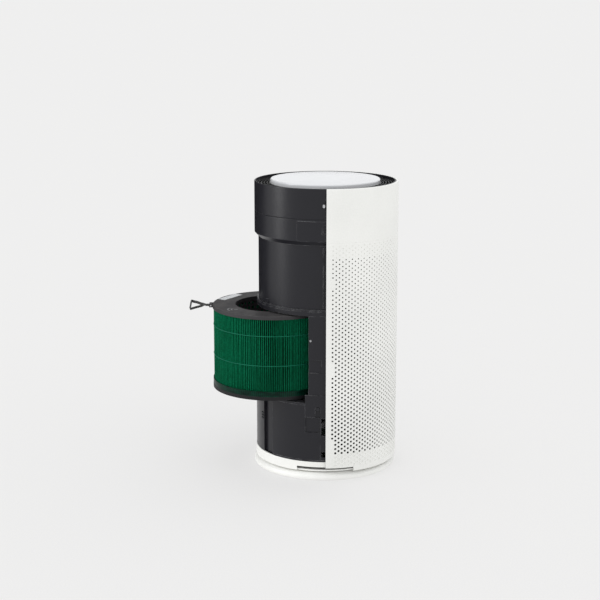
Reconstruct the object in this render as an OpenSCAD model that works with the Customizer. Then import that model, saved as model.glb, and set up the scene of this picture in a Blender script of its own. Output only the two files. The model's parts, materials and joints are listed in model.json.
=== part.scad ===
// Cylindrical room air purifier. Air comes in all round the middle, passes through the drum
// filter, and a fan blows it out of the ring-shaped grille at the top.
// The front half cover is on, the rear one is off, and the filter is drawn half way out.
// Origin: centre of the underside, on the floor. +Z is up, -Y is the front, +Y is the open rear.

/* [Overall] */
// Outside diameter of the casing, over the covers
casing_d = 286; // [236:1:344]
// Height of the casing, from the floor to the rim of the covers
casing_h = 567; // [470:1:684]

/* [Base] */
// Height of the round base
base_h = 14; // [11:0.5:18]
// How far the base's edge stands inside the casing's outside
base_inset = 2.4; // [1:0.1:6]
// Width of the base's rounded edge
base_round = 12; // [8:0.5:16]
// Thickness of the rubber ring that the base stands on
foot_h = 3; // [2.5:0.1:4]
// Width of that ring
foot_w = 22; // [14:1:26]
// Shadow gap between the base and the body
base_gap = 3; // [2.4:0.1:4]
// Height of the pale ring under the body
ring_h = 19; // [15.8:0.1:24]
// Wall of the pale ring
ring_t = 2.9; // [2.4:0.1:3.5]
// Width of the finger notch in the ring and the cover
notch_w = 110; // [60:1:132]
// Height of the finger notch
notch_h = 8.6; // [5:0.1:11]

/* [Lower housing] */
// Height of the lower housing
lower_h = 117; // [110:1:140]
// Wall of the moulded housings
shell_t = 2.5; // [2:0.1:3]
// Thickness of the deck under the filter
deck_t = 4; // [3:0.1:5]
// Depth of the recess round the rear panel
recess_depth = 5; // [4:0.1:6]
// Height of the mains socket's centre above the floor
socket_z = 70; // [60:1:90]

/* [Columns and chamber] */
// Half of the angle that a side column spans
column_span = 14.3; // [12:0.1:15]
// Half of the angle that a column's foot spans
foot_span = 16.9; // [16:0.1:18]
// How far a column's foot reaches below the deck
foot_drop = 28; // [24:0.5:29]
// How far a column's foot reaches above the deck
foot_rise = 16; // [10:0.5:20]
// Depth of the pockets that the covers hook into
pocket_depth = 2.6; // [2:0.1:3]
// Bars in the front half of the cage
cage_bars = 13; // [9:2:17]

/* [Filter] */
// How far the filter's outside stands inside the casing's outside
filter_inset = 22; // [21:0.2:26.6]
// Diameter of the hole down the filter
filter_bore = 152; // [127:1:183]
// Thickness of the filter's end caps
cap_t = 7; // [5:0.1:9]
// Gap under the seated filter
seat_gap = 2; // [1.6:0.1:3]
// Gap over the seated filter
head_gap = 2.6; // [2.2:0.1:4]
// How far the filter is drawn out
filter_out = 101; // [0:1:150]
// Width of the pull strap's loop
strap_w = 48; // [36:1:58]
// Reach of the pull strap from its pin
strap_reach = 40; // [30:1:48]

/* [Fan] */
// Height of the flange over the filter
flange_h = 12.4; // [11:0.1:15]
// Height of the fan housing
fan_h = 123; // [118:1:148]
// Diameter of the fan's inlet
inlet_d = 140; // [116:1:148]
// Gap between the impeller and the fan housing
impeller_gap = 27; // [20:0.5:32]
// Number of impeller blades
blades = 9; // [7:1:11]
// Number of vanes round the motor
vanes = 11; // [7:2:13]
// Diameter of the motor
motor_d = 88; // [74:1:106]
// Diameter of the motor's shaft
shaft_d = 8; // [6.6:0.1:9.6]
// Clearance of the shaft in its bearings, on the radius
shaft_fit = 0.04; // [0.02:0.01:0.08]

/* [Top] */
// Height of the slope between the fan housing and the band
slope_h = 8.5; // [6:0.1:11]
// Height of the band over the fan housing
band_h = 41.5; // [40:0.1:50]
// Height of the upper ring
crown_h = 58; // [56:0.5:70]
// How far the top disc's edge stands inside the casing's outside
disc_inset = 35.7; // [30:0.1:42]
// How far the top disc stands above the rim
disc_rise = 3; // [2:0.1:5]
// Depth of the grille below the rim
grille_drop = 5; // [4:0.1:7]
// Ribs across the outlet grille
grille_ribs = 30; // [18:2:36]
// Rings in the outlet grille
grille_rings = 4; // [2:1:5]
// Travel of the cover switch's button
switch_travel = 2.4; // [2:0.1:2.8]

/* [Front cover] */
// Wall of the cover
cover_t = 2.8; // [2.3:0.1:3]
// Gap between the cover and the body's widest ring
cover_gap = 2.2; // [1.9:0.1:3]
// Width of the cover's rim at the top
rim_w = 4.5; // [4:0.1:4.7]
// Columns of intake slots
slot_columns = 24; // [16:2:28]
// Rows of intake slots
slot_rows = 9; // [6:1:10]
// Width of an intake slot
slot_w = 2.8; // [2:0.1:4]

/* [Hidden] */
$fn = 96;
eps = 1;                // how far a cutter runs past what it cuts

// Radii, from the outside in
casing_r = casing_d / 2;
cover_in = casing_r - cover_t;
band_r = cover_in - cover_gap;
band_in = band_r - shell_t;
low_r = band_r - 2.4;
low_in = low_r - shell_t;
ring_r = low_r + 1;
ring_in = ring_r - ring_t;
base_r = casing_r - base_inset;
neck_r = base_r - base_round - 10;
recess_r = low_r - recess_depth;
foot_in = low_r - 5.3;
flange_r = band_r - 4;
fan_r = band_r - 7.6;
fan_in = fan_r - shell_t;
filter_r = casing_r - filter_inset;
bore_r = filter_bore / 2;
column_in = filter_r + 1.8;
cage_in = column_in + 1.7;
cage_out = cage_in + 5;
inlet_r = inlet_d / 2;
impeller_r = fan_in - impeller_gap;
motor_r = motor_d / 2;
shaft_r = shaft_d / 2;
disc_r = casing_r - disc_inset;
fairing_r = disc_r + 0.3;

// Heights, from the floor up
foot_gap = 1.5;
z_neck = base_h;
z_ring = z_neck + base_gap;
z_low = z_ring + ring_h;
z_deck = z_low + lower_h;
z_wall = z_deck - deck_t;
z_rim = casing_h;
z_crown = z_rim - crown_h;
z_band = z_crown - band_h;
z_fan_top = z_band - slope_h;
z_flange = z_fan_top - fan_h;
z_ceiling = z_flange - flange_h;
filter_low = z_deck + seat_gap;
filter_top = z_ceiling - head_gap;
foot_low = z_deck - foot_drop;
foot_top = z_deck + foot_rise;
z_grille = z_rim - grille_drop;

// Base and lower housing
plate_t = 3;
foot_ring_r = base_r - 32;
screw_r = 2;
screw_head_r = 3.6;
screw_seat = 5;
screw_fit = 0.05;
base_screw_ring = 60;
boss_h = 10;
board_z = z_ring + 29;
board_size = [120, 84, 1.6];
post_x = 52;
post_y = 34;
panel_from = 62;
recess_from = 49.2;
strip_span = 4.4;
hook_span = 3.6;
upper_hook = [foot_low - 36, foot_low - 2];
lower_hook = [z_low + 9.5, z_low + 21];
pad_low = upper_hook[0] - 4;
vent_z = z_low + 66;
vent_pitch = 5.4;
socket_size = [28, 24, 20];
socket_fit = 0.2;

// Columns
pocket_low = z_deck + 0.352 * (z_ceiling - z_deck);
pocket_high = pocket_low + 25.5;
stud_bearing = 12.6;
stud_z = z_deck + 0.72 * (z_ceiling - z_deck);
arch_bearing = 6.45;
arch_r = 5.1;
arch_z = z_deck - 11.5;
arch_floor = low_r - 3.6;
column_screw_r = 1.5;

// Fan
plate_top = z_ceiling + 4;
mouth_bend = 12;
mouth_t = 2.4;
mouth_top = plate_top + mouth_bend;
impeller_low = mouth_top + 6;
impeller_top = impeller_low + 56;
eye_r = inlet_r + 6;
hub_r = 14;
can_low = impeller_top + 9;
can_h = 34;
can_top = can_low + can_h;
bearing_r = shaft_r + 7;
bearing_h = 7;
mount_r = motor_r + 3;
mount_low = can_low + 8;
mount_top = can_top + 4;
motor_screw_ring = motor_r * 0.7;
motor_screw_r = 1.5;

// Top
latch_low = z_band + 13.5;
latch_high = latch_low + 20;
latch_proud = 1.4;
pad_proud = 0.8;
pad_span = 23.5;
ledge_r = band_in - 2.5;
fairing_low = z_crown + 6;
disc_low = z_rim - 4.8;
switch_bearing = 2;
switch_z = z_crown + 26;
button_r = 2.2;
button_half = 1.1;
button_proud = 2.4;
board_top_z = disc_low - 14;

// Cover and filter
cover_low = z_ring;
slot_top = z_band - 28;
slot_low = z_low + 25;
tongue_fit = 1;
pin_r = 1.5;
pin_y = filter_r + 3.6;
pin_z = filter_top - cap_t / 2;
lug_x = 5;
strap_t = 2;

// ---- helpers ----------------------------------------------------------------

// A full ring about the z axis
module ring(r_out, r_in, low, high)
    rotate_extrude() translate([r_in, low]) square([r_out - r_in, high - low]);

// Part of a ring. Bearings count from the left side (-X) round towards the rear (+Y)
module arc_wall(r_out, r_in, low, high, from, to)
    rotate([0, 0, 180 - to]) rotate_extrude(angle = to - from)
        translate([r_in, low]) square([r_out - r_in, high - low]);

// Turns local +X to point outwards at a bearing
module at_bearing(b) rotate([0, 0, 180 - b]) children();

module both_sides() {
    children();
    mirror([1, 0, 0]) children();
}

module front_and_rear() {
    children();
    mirror([0, 1, 0]) children();
}

module around(count, first = 0)
    for (i = [0:count - 1]) rotate([0, 0, first + i * 360 / count]) children();

// Points of an arc round a centre
function arc_points(centre, r, from, to) =
    [for (i = [0:6]) centre + r * [cos(from + (to - from) * i / 6), sin(from + (to - from) * i / 6)]];

// ---- base -------------------------------------------------------------------

module base_disc() color("whitesmoke") difference() {
    lip = 2;
    rotate_extrude() polygon(concat(
        [[0, foot_gap], [base_r - 0.6, foot_gap]],
        [for (t = [0:15:90]) [base_r - base_round * (1 - cos(t)),
                              foot_gap + lip + (base_h - foot_gap - lip) * sin(t)]],
        [[0, base_h]]));
    ring(foot_ring_r + foot_w / 2, foot_ring_r - foot_w / 2, foot_gap - eps, foot_h);
    around(4, 45) translate([base_screw_ring, 0, 0]) {
        cylinder(r = screw_r + screw_fit, h = base_h + eps);
        cylinder(r = screw_head_r + 0.5, h = screw_seat);
    }
}

module foot_ring() color("dimgray")
    ring(foot_ring_r + foot_w / 2, foot_ring_r - foot_w / 2, 0, foot_h);

module base_screws() color("silver")
    around(4, 45) translate([base_screw_ring, 0, screw_seat]) {
        translate([0, 0, -2.4]) cylinder(r = screw_head_r, h = 2.4);
        cylinder(r = screw_r, h = z_ring + plate_t + boss_h - 3 - screw_seat);
    }

module bottom_plate() color("whitesmoke") difference() {
    union() {
        translate([0, 0, z_neck]) cylinder(r = neck_r, h = base_gap);
        translate([0, 0, z_ring]) cylinder(r = ring_in, h = plate_t);
        around(4, 45) translate([base_screw_ring, 0, z_ring]) cylinder(r = 6, h = plate_t + boss_h);
        for (x = [-post_x, post_x], y = [-post_y, post_y])
            translate([x, y, z_ring]) cylinder(r = 4, h = board_z - z_ring);
    }
    around(4, 45) translate([base_screw_ring, 0, z_neck - eps])
        cylinder(r = screw_r + screw_fit, h = base_gap + plate_t + boss_h - 1 + eps);
}

module side_notches(r)
    both_sides() translate([-r - 5, -notch_w / 2, z_ring - eps])
        cube([r * 0.5, notch_w, notch_h + eps]);

module bottom_ring() color("whitesmoke") difference() {
    ring(ring_r, ring_in, z_ring, z_low);
    side_notches(ring_r);
}

// ---- lower housing ----------------------------------------------------------

module foot_space(fit) {
    spread = fit / low_r * 180 / PI;
    arc_wall(low_r + eps, foot_in - fit, foot_low - fit, z_deck + eps,
             -foot_span - spread, foot_span + spread);
}

module rear_recess()
    arc_wall(low_r + eps, recess_r, z_low - eps, z_wall + eps, recess_from, 180 - recess_from);

module socket_hole() translate([-socket_size[0] / 2 - socket_fit, low_r - socket_size[1],
                                socket_z - socket_size[2] / 2 - socket_fit])
    cube([socket_size[0] + 2 * socket_fit, socket_size[1] + 2 * eps,
          socket_size[2] + 2 * socket_fit]);

module sensor_vents(from, to)
    for (i = [0:2])
        arc_wall(low_r + eps, recess_r - shell_t - eps, vent_z + i * vent_pitch,
                 vent_z + i * vent_pitch + 2.6, from, to);

module lower_housing() color("#3a3a3d") difference() {
    mid = (low_r + low_in) / 2;
    step = 0.5;                             // the inner walls stop short of the housing's ends
    union() {
        ring(low_r, low_in, z_low, z_wall);
        arc_wall(mid, recess_r - shell_t, z_low + step, z_wall - step, 44, 136);
        both_sides() {
            arc_wall(mid, foot_in - shell_t, pad_low, z_wall - step, -foot_span - 2, foot_span + 2);
            arc_wall(low_r + 0.5, mid, z_low + 4, foot_low, -strip_span, strip_span);
        }
    }
    rear_recess();
    socket_hole();
    sensor_vents(panel_from + 0.5, panel_from + 4.5);
    both_sides() {
        foot_space(0.3);
        front_and_rear() {
            arc_wall(low_r + eps, low_r - 2, foot_low - 30, foot_low + eps, strip_span, foot_span);
            at_bearing(arch_bearing) translate([foot_in - 10, 0, arch_z]) rotate([0, 90, 0])
                cylinder(r = column_screw_r + screw_fit, h = 12);
        }
        for (span = [upper_hook, lower_hook])
            arc_wall(low_r + eps, foot_in - shell_t - eps, span[0], span[1], -hook_span, hook_span);
    }
    ring(low_r + 1, low_r - 0.5, z_low + 2.6, z_low + 3.3);
}

module rear_panel() color("#3a3a3d") difference() {
    arc_wall(low_r, recess_r, z_low + 0.4, z_wall - 0.4, panel_from, 180 - panel_from);
    arc_wall(low_r - shell_t, recess_r - eps, z_low + 3, z_wall - 3, panel_from + 8, 172 - panel_from);
    socket_hole();
    sensor_vents(panel_from + 0.5, panel_from + 4.5);
}

module filter_deck() color("#3a3a3d") difference() {
    translate([0, 0, z_wall]) cylinder(r = low_r, h = deck_t);
    both_sides() foot_space(0.3);
}

module deck_pad() color("#2a2a2c") ring(filter_r - 20, filter_r - 60, z_deck, z_deck + 1.4);

module power_board() {
    color("darkgreen") difference() {
        translate([-board_size[0] / 2, -board_size[1] / 2, board_z]) cube(board_size);
        for (x = [-post_x, post_x], y = [-post_y, post_y])
            translate([x, y, board_z - eps]) cylinder(r = 1.6, h = 4);
    }
    top = board_z + board_size[2];
    color("goldenrod") translate([-42, -22, top]) cube([34, 30, 27]);
    color("black") translate([6, -20, top]) cylinder(r = 8, h = 26);
    color("black") translate([26, -20, top]) cylinder(r = 8, h = 26);
    color("silver") translate([4, 6, top]) cube([32, 4, 24]);
    color("white") translate([-36, 20, top]) cube([22, 10, 12]);
}

module power_socket() color("#1c1c1e") difference() {
    translate([-socket_size[0] / 2, low_r - socket_size[1] - 0.5, socket_z - socket_size[2] / 2])
        cube(socket_size);
    translate([-11, low_r - 15, socket_z - 7]) cube([22, 20, 14]);
}

module socket_pins() color("gold")
    for (x = [-5, 5])
        translate([x, low_r - 15, socket_z]) rotate([-90, 0, 0]) cylinder(r = 1.2, h = 11);

module dust_sensor() color("#26262a") at_bearing(panel_from + 2.5)
    translate([recess_r - shell_t - 20, -22, vent_z - 12]) difference() {
        cube([16, 44, 36]);
        translate([-eps, 14, 8]) cube([12, 16, 20]);
    }

// ---- columns and cage -------------------------------------------------------

module column() difference() {
    union() {
        arc_wall(flange_r, filter_r * 0.8, z_deck, z_ceiling, -column_span, column_span);
        arc_wall(low_r, foot_in, foot_low, foot_top, -foot_span, foot_span);
    }
    // Flat inner face, so that the filter slides past
    translate([-column_in, -casing_r, z_deck - eps]) cube([casing_r, casing_d, casing_h]);
    // Channel for the wiring
    translate([-flange_r + 3, -7, z_deck - eps])
        cube([flange_r - column_in - 6, 14, z_ceiling - z_deck + 2 * eps]);
    front_and_rear() {
        arc_wall(flange_r + 5, flange_r - pocket_depth, pocket_low, pocket_high,
                 hook_span, column_span + 1);
        at_bearing(arch_bearing) {
            translate([arch_floor, 0, arch_z]) rotate([0, 90, 0]) cylinder(r = arch_r, h = 10);
            translate([arch_floor, -arch_r, foot_low - eps])
                cube([10, 2 * arch_r, arch_z - foot_low + eps]);
            translate([foot_in - 5, 0, arch_z]) rotate([0, 90, 0])
                cylinder(r = column_screw_r + screw_fit, h = 12);
        }
        at_bearing(stud_bearing) translate([flange_r - 2, 0, stud_z]) rotate([0, 90, 0])
            cylinder(r = 2, h = 5);
    }
}

module left_column() color("#3a3a3d") column();

module right_column() color("#3a3a3d") mirror([1, 0, 0]) column();

module column_studs() color("whitesmoke") both_sides() front_and_rear() at_bearing(stud_bearing)
    translate([flange_r - 2, 0, stud_z]) rotate([0, 90, 0]) cylinder(r = 2, h = 2.8);

module column_screws() color("silver") both_sides() front_and_rear() at_bearing(arch_bearing)
    translate([arch_floor, 0, arch_z]) rotate([0, 90, 0]) {
        cylinder(r = 3.4, h = 2);
        translate([0, 0, -9]) cylinder(r = column_screw_r, h = 9);
    }

module intake_cage() color("#303033") {
    margin = foot_span + 1.5;
    step = (180 - 2 * margin - 2.4) / (cage_bars - 1);
    for (z = [z_deck, (z_deck + z_ceiling) / 2 - 2, z_ceiling - 4])
        arc_wall(cage_out, cage_in, z, z + 4, 180 + margin, 360 - margin);
    for (i = [0:cage_bars - 1]) {
        bearing = 180 + margin + 1.2 + i * step;
        arc_wall(cage_in + 4.2, cage_in + 0.6, z_deck + 1, z_ceiling - 1, bearing - 0.7, bearing + 0.7);
    }
}

// ---- fan --------------------------------------------------------------------

module inlet_flange() color("#3a3a3d") rotate_extrude() polygon(concat(
    [[inlet_r, z_ceiling], [flange_r, z_ceiling], [flange_r, z_flange - 4.6],
     [flange_r - 0.7, z_flange - 4.4], [flange_r - 0.7, z_flange - 3], [flange_r, z_flange - 2.8],
     [flange_r, z_flange - 0.6], [flange_r - 0.6, z_flange], [fan_in, z_flange],
     [fan_in, plate_top]],
    [for (t = [0:15:90]) [inlet_r + mouth_t + mouth_bend * (1 - sin(t)),
                          plate_top + mouth_bend * (1 - cos(t))]],
    [[inlet_r, mouth_top]]));

module inlet_guard() color("#2c2c2e") {
    low = z_ceiling + 0.8;
    ring(inlet_r, inlet_r - 3, low, low + 2.4);
    ring(inlet_r * 0.66, inlet_r * 0.66 - 2, low, low + 2.4);
    ring(inlet_r * 0.33, inlet_r * 0.33 - 2, low, low + 2.4);
    around(12) translate([inlet_r * 0.33 - 1, -0.9, low]) cube([inlet_r * 0.67 - 1, 1.8, 2.4]);
}

module inlet_seal() color("#1f1f21") ring(filter_r - 3, inlet_r + 10, z_ceiling - 1.9, z_ceiling);

module fan_housing() color("#3a3a3d") {
    ring(fan_r, fan_in, z_flange, z_fan_top);
    both_sides() {
        arc_wall(fan_r + 1.2, fan_r - 1, z_flange + 4, z_fan_top - 4, 2, 2.7);
        arc_wall(fan_r + 1.6, fan_r - 1, z_flange, z_flange + 9, 57, 61);
        arc_wall(fan_r + 1.6, fan_r - 1, z_flange, z_flange + 9, -61, -57);
    }
}

// Backward-curved blade, as a slice of a ring of its own
module blade(low, high) {
    bend = impeller_r * 0.62;
    intersection() {
        translate([bend * 0.95, bend * 0.25, 0]) ring(bend, bend - 2, low, high);
        ring(impeller_r - 0.2, eye_r * 0.86, low, high);
        rotate([0, 0, -100]) rotate_extrude(angle = 115) translate([0, low])
            square([impeller_r, high - low]);
    }
}

module impeller() color("#d8d8dc") difference() {
    union() {
        ring(impeller_r, eye_r, impeller_low, impeller_low + 2.4);
        ring(impeller_r, shaft_r, impeller_top - 3, impeller_top);
        ring(hub_r, shaft_r, impeller_top - 22, impeller_top + 4);
        around(blades) blade(impeller_low + 1.2, impeller_top - 1.5);
    }
    translate([0, 0, impeller_low - eps]) cylinder(r = shaft_r, h = 80);
}

module impeller_nut() color("silver") {
    low = impeller_top - 30;
    difference() {
        translate([0, 0, low]) cylinder(r = 7.5, h = 8, $fn = 6);
        translate([0, 0, low - eps]) cylinder(r = shaft_r, h = 10);
    }
}

module motor_shaft() color("silver")
    translate([0, 0, impeller_top - 34]) cylinder(r = shaft_r, h = can_top - impeller_top + 33);

module motor_rotor() color("#55555a")
    ring(motor_r * 0.54, shaft_r, can_low + bearing_h + 3, can_top - bearing_h - 3);

module motor_windings() color("chocolate")
    ring(motor_r - 3, motor_r * 0.54 + 1.5, can_low + bearing_h + 3, can_top - bearing_h - 3);

module motor_can() color("#8c8f94") difference() {
    union() {
        ring(motor_r, motor_r - 3, can_low, can_top);
        ring(motor_r - 2, bearing_r, can_low, can_low + 3);
        ring(motor_r - 2, bearing_r, can_top - 3, can_top);
        ring(bearing_r + 4, bearing_r, can_low, can_low + bearing_h);
        ring(bearing_r + 4, bearing_r, can_top - bearing_h, can_top);
    }
    around(3) translate([motor_screw_ring, 0, can_top - 5])
        cylinder(r = motor_screw_r + screw_fit, h = 8);
}

module motor_bearings() color("silver") for (low = [can_low, can_top - bearing_h])
    ring(bearing_r, shaft_r + shaft_fit, low, low + bearing_h);

module motor_screws() color("silver") around(3) translate([motor_screw_ring, 0, can_top - 4.5]) {
    cylinder(r = motor_screw_r, h = mount_top - can_top + 4.5);
    translate([0, 0, mount_top - can_top + 4.5]) cylinder(r = 3, h = 2.2);
}

module motor_mount() color("#3a3a3d") difference() {
    union() {
        ring(mount_r, motor_r, mount_low, mount_top);
        ring(mount_r, bearing_r + 2, can_top, mount_top);
    }
    around(3) translate([motor_screw_ring, 0, can_top - eps])
        cylinder(r = motor_screw_r + screw_fit, h = 8);
}

// Slanted vanes that carry the motor mount and straighten the air
module stator_vanes() color("#323235") intersection() {
    around(vanes) translate([motor_r, 0, (mount_low + mount_top) / 2])
        rotate([28, 0, 0]) translate([0, -1, -20]) cube([fan_in - motor_r + 5, 2, 40]);
    ring(fan_in, mount_r, mount_low, mount_top);
}

// ---- top --------------------------------------------------------------------

module latch_space() both_sides()
    arc_wall(casing_r, band_in - 3, latch_low, latch_high, -hook_span, hook_span);

module shroud_band() color("#3a3a3d") difference() {
    union() {
        rotate_extrude() polygon([
            [fan_in, z_fan_top], [fan_r, z_fan_top], [band_r, z_band], [band_r, z_crown - 0.8],
            [band_r - 0.8, z_crown], [band_in, z_crown], [band_in, z_band + 1],
            [fan_in, z_fan_top + 3]]);
        both_sides()
            arc_wall(band_r + pad_proud, band_r - 1, z_band, z_crown - 3.5, -pad_span, pad_span);
    }
    latch_space();
}

module cover_latches() color("#4a4a4d") both_sides() difference() {
    arc_wall(band_r + latch_proud, band_in - 1, latch_low, latch_high, -hook_span, hook_span);
    arc_wall(casing_r, band_r - 0.6, latch_low + 2.4, latch_high - 2.4, -hook_span + 1, hook_span - 1);
}

module button_outline(fit)
    for (side = [-1, 1]) translate([side * button_half, 0]) circle(r = button_r + fit, $fn = 48);

// Slot-shaped outline of the switch button, its long side upright
module button_bar(fit, from, to) at_bearing(switch_bearing) translate([from, 0, switch_z])
    rotate([0, 90, 0]) linear_extrude(to - from) {
        button_outline(fit);
        square([2 * button_half, 2 * (button_r + fit)], center = true);
    }

module upper_ring() color("#3a3a3d") difference() {
    union() {
        rotate_extrude() polygon([
            [band_in, z_crown], [band_r - 0.8, z_crown], [band_r, z_crown + 0.8],
            [band_r, z_rim - 1], [band_r - 1, z_rim], [band_in, z_rim]]);
        ring(band_in + 0.5, ledge_r, z_grille - 9, z_grille - 6);
    }
    button_bar(0.35, band_in - 5, casing_r);
}

module outlet_grille() color("#323235") {
    low = z_grille - 6;
    inner = fairing_r;
    outer = band_in;
    pitch = (outer - inner) / (grille_rings + 1);
    ring(inner + 2, inner, low - 6, z_grille);
    ring(outer, outer - 2.2, low, z_grille);
    for (i = [1:grille_rings])
        ring(inner + i * pitch + 0.8, inner + i * pitch - 0.8, low + 1.5, z_grille);
    intersection() {
        around(grille_ribs) translate([inner, 0, low]) rotate([0, 0, 24])
            translate([-4, -0.75, 0]) cube([outer - inner + 12, 1.5, 4]);
        ring(outer - 1, inner + 1, low, low + 4);
    }
}

module hub_fairing() color("#3a3a3d") rotate_extrude() polygon([
    [0, fairing_low], [fairing_r * 0.5, fairing_low], [fairing_r, fairing_low + 24],
    [fairing_r, disc_low], [fairing_r - 2.5, disc_low], [fairing_r - 2.5, fairing_low + 25.5],
    [fairing_r * 0.5 - 1, fairing_low + 2.5], [0, fairing_low + 2.5]]);

module control_board() {
    color("darkgreen") translate([0, 0, board_top_z]) cylinder(r = fairing_r - 2.5, h = 1.6);
    color("white") around(6) translate([disc_r * 0.5, 0, board_top_z + 1.6])
        translate([-3, -3, 0]) cube([6, 6, 2]);
}

module top_disc() color("whitesmoke") rotate_extrude() polygon(concat(
    [[0, z_rim + disc_rise - 2.4], [disc_r - 3, z_rim + disc_rise - 2.4], [disc_r - 3, disc_low],
     [disc_r, disc_low]],
    [for (t = [0:15:90]) [disc_r - 2.5 * (1 - cos(t)), z_rim + disc_rise - 2.5 * (1 - sin(t))]],
    [[0, z_rim + disc_rise]]));

module switch_body() color("#202022") at_bearing(switch_bearing) {
    inside = band_in - 5;
    translate([inside - 12, -9, switch_z - 6]) cube([12, 18, 12]);
    for (side = [-9, 6.5]) translate([inside - 2, side, switch_z - 6]) cube([6.4, 2.5, 12]);
}

module switch_button() color("white")
    button_bar(0, band_in - 5 + switch_travel + 0.4, band_r + button_proud);

// ---- covers -----------------------------------------------------------------

module front_cover() color("whitesmoke") {
    corner = 2;
    slot_step = (slot_top - slot_low) / slot_rows;
    difference() {
        rotate([0, 0, 180]) rotate_extrude(angle = 180) polygon(concat(
            [[cover_in, cover_low + 0.8], [cover_in + 0.8, cover_low]],
            [for (t = [-90:30:0]) [casing_r - corner + corner * cos(t),
                                   cover_low + corner + corner * sin(t)]],
            [for (t = [0:30:90]) [casing_r - corner + corner * cos(t),
                                  z_rim - corner + corner * sin(t)]],
            [[casing_r - rim_w, z_rim], [casing_r - rim_w, z_rim - 3],
             [cover_in, z_rim - 3 - (casing_r - rim_w < cover_in ? 2 : 0)]]));
        side_notches(casing_r);
        for (i = [0:slot_columns - 1], j = [0:slot_rows - 1])
            at_bearing(180 + (i + 0.5) * 180 / slot_columns)
                translate([cover_in - 2, -slot_w / 2, slot_low + j * slot_step])
                    cube([8, slot_w, slot_step * 0.72]);
    }
    both_sides() arc_wall(cover_in + 0.5, flange_r - pocket_depth + 0.8, pocket_low + tongue_fit,
                          pocket_high - tongue_fit, -column_span + 1.2, -hook_span - 1);
}

// ---- filter, drawn out along +Y ---------------------------------------------

module filter_place() translate([0, filter_out, 0]) children();

module filter_media() color("seagreen") filter_place()
    ring(filter_r - 1.6, bore_r + 2, filter_low + cap_t, filter_top - cap_t);

module filter_core() color("#4b4b4f") filter_place()
    ring(bore_r + 2, bore_r + 0.5, filter_low + cap_t, filter_top - cap_t);

module filter_top_cap() color("#4a4749") filter_place() difference() {
    union() {
        rotate_extrude() polygon([
            [bore_r, filter_top - cap_t], [filter_r, filter_top - cap_t],
            [filter_r, filter_top - 1], [filter_r - 1, filter_top], [bore_r, filter_top]]);
        for (x = [-lug_x - 3, lug_x])
            translate([x, filter_r - 3, filter_top - cap_t]) cube([3, 9.6, cap_t]);
    }
    translate([-lug_x - 4, pin_y, pin_z]) rotate([0, 90, 0]) cylinder(r = pin_r, h = 2 * lug_x + 8);
}

module filter_bottom_cap() color("#4a4749") filter_place()
    translate([0, 0, filter_low]) cylinder(r = filter_r, h = cap_t);

module filter_skirt() color("darkgreen") filter_place()
    ring(filter_r - 0.2, filter_r - 1.6, filter_low + cap_t, filter_low + cap_t + 10.7);

module filter_label() color("white") filter_place()
    rotate([0, 0, 56.5]) translate([filter_r - 23, -30, filter_top]) cube([18, 60, 0.2]);

module strap_pin() color("silver") filter_place()
    translate([-lug_x - 3, pin_y, pin_z]) rotate([0, 90, 0]) cylinder(r = pin_r, h = 2 * lug_x + 6);

module pull_strap() color("#3c3a3a") filter_place() difference() {
    half = strap_w / 2;
    neck = 7;
    tape = 3;                               // half the tape's width
    slope = atan2(strap_reach - neck, half);
    near = [0, neck];
    right = [half, strap_reach];
    left = [-half, strap_reach];
    reach_in = strap_reach - tape;
    union() {
        translate([-lug_x + 0.4, pin_y, pin_z]) rotate([0, 90, 0])
            cylinder(r = 3, h = 2 * lug_x - 0.8);
        translate([0, pin_y, pin_z - strap_t / 2]) {
            translate([-3.4, 1, 0]) cube([6.8, neck + 2, strap_t]);
            linear_extrude(strap_t) difference() {
                polygon(concat(arc_points(near, tape, -slope - 90, slope - 90),
                               arc_points(right, tape, slope - 90, 90),
                               arc_points(left, tape, 90, 270 - slope)));
                // Inside of the loop: the same triangle, drawn in by half the tape's width
                inner_near = neck + tape / cos(slope);
                inner_half = (reach_in - inner_near) / tan(slope);
                polygon([[0, inner_near], [inner_half, reach_in], [-inner_half, reach_in]]);
            }
        }
    }
    translate([-lug_x, pin_y, pin_z]) rotate([0, 90, 0])
        cylinder(r = pin_r + 0.06, h = 2 * lug_x);
}

base_disc();
foot_ring();
base_screws();
bottom_plate();
bottom_ring();
lower_housing();
rear_panel();
filter_deck();
deck_pad();
power_board();
power_socket();
socket_pins();
dust_sensor();
left_column();
right_column();
column_studs();
column_screws();
intake_cage();
inlet_flange();
inlet_guard();
inlet_seal();
fan_housing();
impeller();
impeller_nut();
motor_shaft();
motor_rotor();
motor_windings();
motor_can();
motor_bearings();
motor_screws();
motor_mount();
stator_vanes();
shroud_band();
cover_latches();
upper_ring();
outlet_grille();
hub_fairing();
control_board();
top_disc();
switch_body();
switch_button();
front_cover();
filter_media();
filter_core();
filter_top_cap();
filter_bottom_cap();
filter_skirt();
filter_label();
strap_pin();
pull_strap();
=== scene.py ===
# %% [markdown]
# A room air purifier, open at the back. It stands like a white and charcoal drum: a perforated half
# cover closes the front, the rear one is off, and the green filter is drawn half way out on its
# strap. The engineering model already holds every part at its true size, so this script gives
# those parts their finish and rebuilds the few that live by fine detail: the holes, the pleats and
# the woven strap.

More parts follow.
